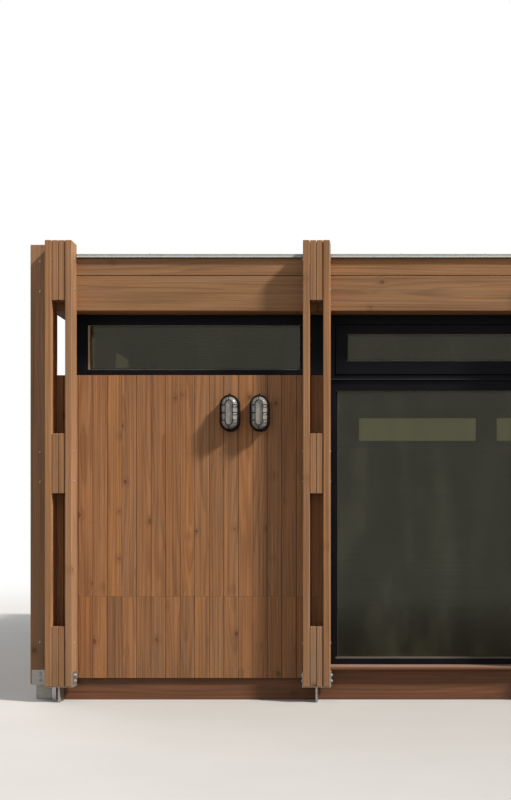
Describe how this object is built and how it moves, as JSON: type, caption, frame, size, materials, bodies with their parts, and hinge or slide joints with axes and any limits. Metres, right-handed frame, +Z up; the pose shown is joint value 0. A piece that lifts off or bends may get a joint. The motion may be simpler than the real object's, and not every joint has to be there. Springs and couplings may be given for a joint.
{
  "type": "timber cabin",
  "caption": "Square flat-roofed timber cabin with built-up posts on steel shoes, upright boards, ribbon windows and picture windows.",
  "frame": {"origin": "middle of the cabin's plan, on the ground", "axes": "+Z up, -Y towards the front with the picture windows, +X to the right seen from the front"},
  "size_m": [6.499, 6.499, 2.735],
  "materials": {
    "post_timber": "stained pine",
    "wall_boards": "stained pine",
    "beam_timber": "stained pine",
    "base_timber": "sawn",
    "sill_timber": "oiled",
    "inner_board": "matt",
    "ceiling_boards": "matt",
    "floor_boards": "satin",
    "galvanised_steel": "galvanised",
    "flashing_metal": "satin",
    "roof_metal": "satin",
    "black_frame": "satin",
    "window_glass": "clear",
    "light_black": "satin",
    "light_globe": "frosted"
  },
  "bodies": {
    "root": {"front_post_planks": "post_timber", "front_post_blocks": "post_timber", "front_wall": "inner_board", "front_cladding": "wall_boards", "front_beam": "beam_timber", "right_post_planks": "post_timber", "right_post_blocks": "post_timber", "right_wall": "inner_board", "right_cladding": "wall_boards", "right_beam": "beam_timber", "back_post_planks": "post_timber", "back_post_blocks": "post_timber", "back_wall": "inner_board", "back_cladding": "wall_boards", "back_beam": "beam_timber", "left_post_planks": "post_timber", "left_post_blocks": "post_timber", "left_wall": "inner_board", "left_cladding": "wall_boards", "left_beam": "beam_timber", "post_shoes": "galvanised_steel", "post_fins": "galvanised_steel", "base_boards": "base_timber", "floor_joists": "base_timber", "floor_deck": "floor_boards", "ledge_boards": "beam_timber", "roof_fascia": "beam_timber", "ceiling": "ceiling_boards", "roof_joists": "base_timber", "roof_deck": "base_timber", "roof_flashing": "flashing_metal", "roof_sheet": "roof_metal", "clerestory_frames": "black_frame", "clerestory_glass": "window_glass", "window_mullions": "black_frame", "picture_window_frames": "black_frame", "picture_window_glass": "window_glass", "awning_sashes": "black_frame", "awning_glass": "window_glass", "window_sills": "sill_timber", "light_bases": "light_black", "light_globes": "light_globe", "light_cages": "light_black"}
  },
  "joints": []
}
